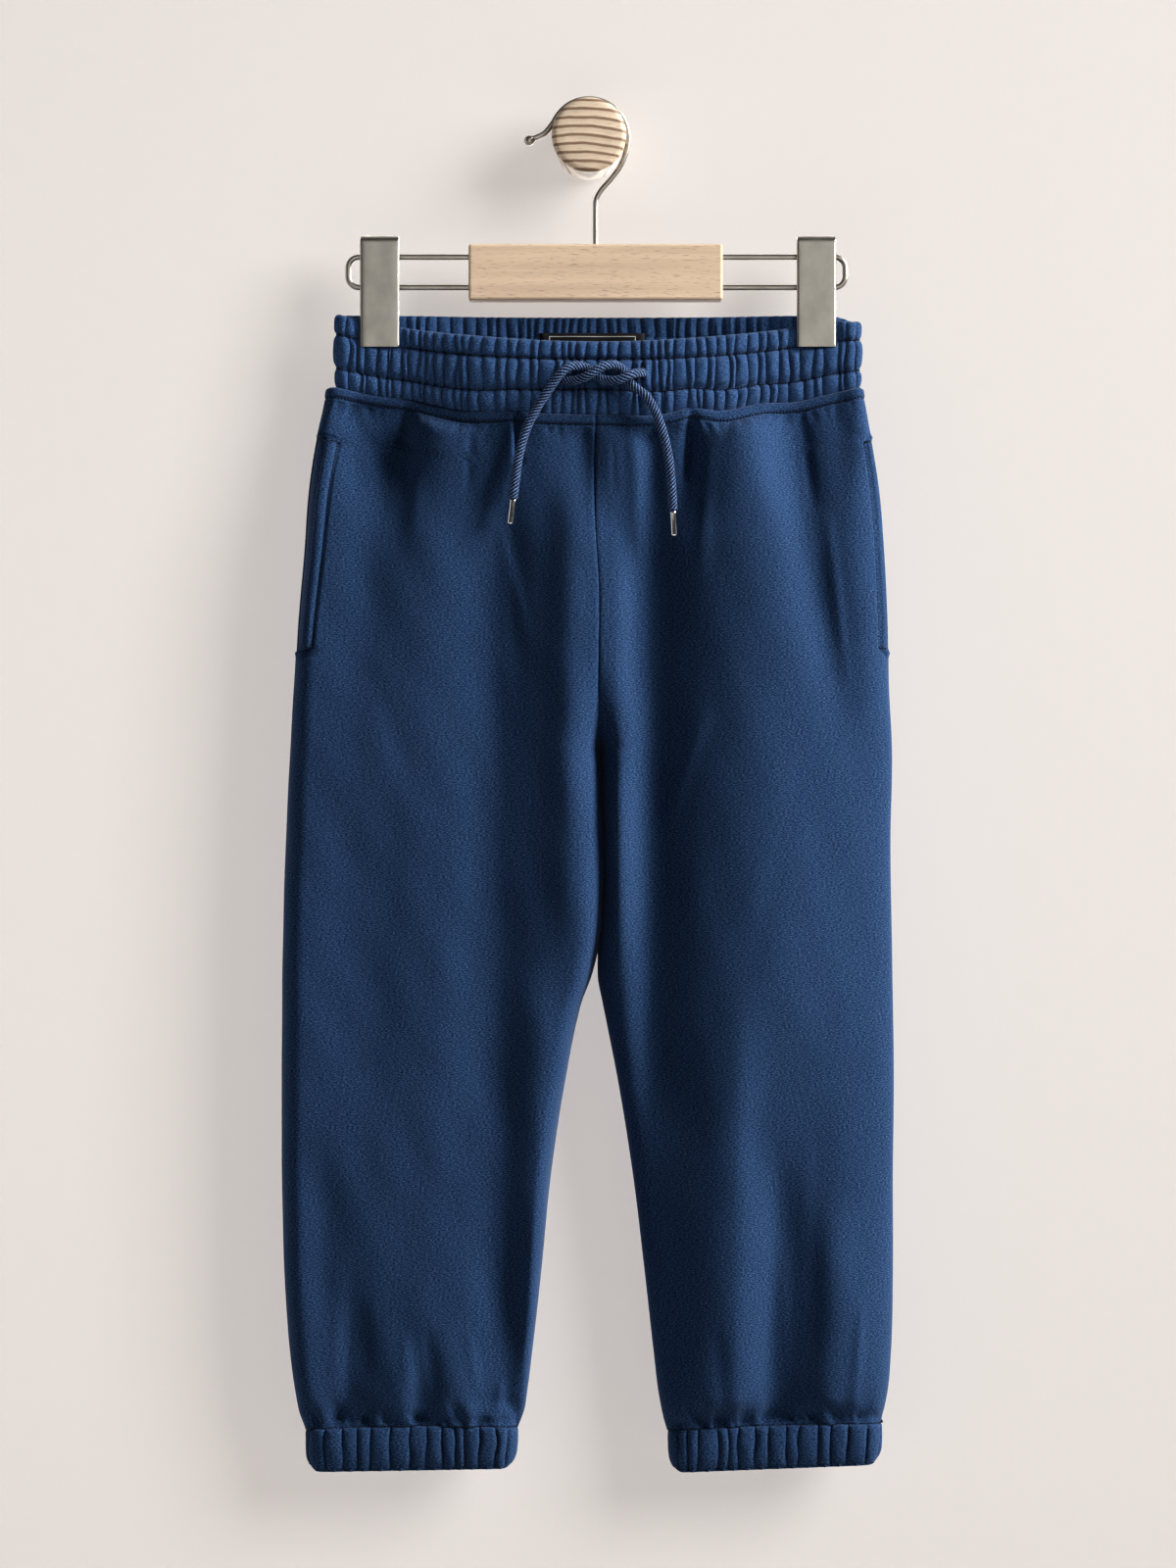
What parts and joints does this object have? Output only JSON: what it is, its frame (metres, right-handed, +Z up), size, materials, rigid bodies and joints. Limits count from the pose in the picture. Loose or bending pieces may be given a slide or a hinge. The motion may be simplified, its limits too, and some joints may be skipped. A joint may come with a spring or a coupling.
{
  "type": "jogger sweatpants on clip hanger and wall knob",
  "caption": "Child's navy fleece jogger sweatpants with drawcord, hung by clips from a wood and wire hanger on a round wall knob.",
  "frame": {"origin": "centre of the knob's flat face that lies on the wall", "axes": "+X to the right as seen from the front, +Y out of the knob's wall face into the wall, +Z up"},
  "size_m": [0.3121, 0.0683, 0.7023],
  "materials": {
    "fleece": "brushed navy sweatshirt fleece",
    "cord": "braided round cord with lighter flecks",
    "label": "bare black woven tape",
    "tip": "polished metal",
    "nickel": "satin nickel",
    "block_wood": "pale beech, matt",
    "knob_wood": "oiled oak, matt"
  },
  "bodies": {
    "root": {"front_left": "fleece", "front_right": "fleece", "back_left": "fleece", "back_right": "fleece", "pocket_left": "fleece", "pocket_right": "fleece", "waistband": "fleece", "cuff_left": "fleece", "cuff_right": "fleece", "label": "label", "drawcord_left": "cord", "drawcord_right": "cord", "tip_left": "tip", "tip_right": "tip", "hanger_block": "block_wood", "wire_left": "nickel", "wire_right": "nickel", "clip_left": "nickel", "clip_right": "nickel", "hook": "nickel", "knob": "knob_wood"}
  },
  "joints": []
}
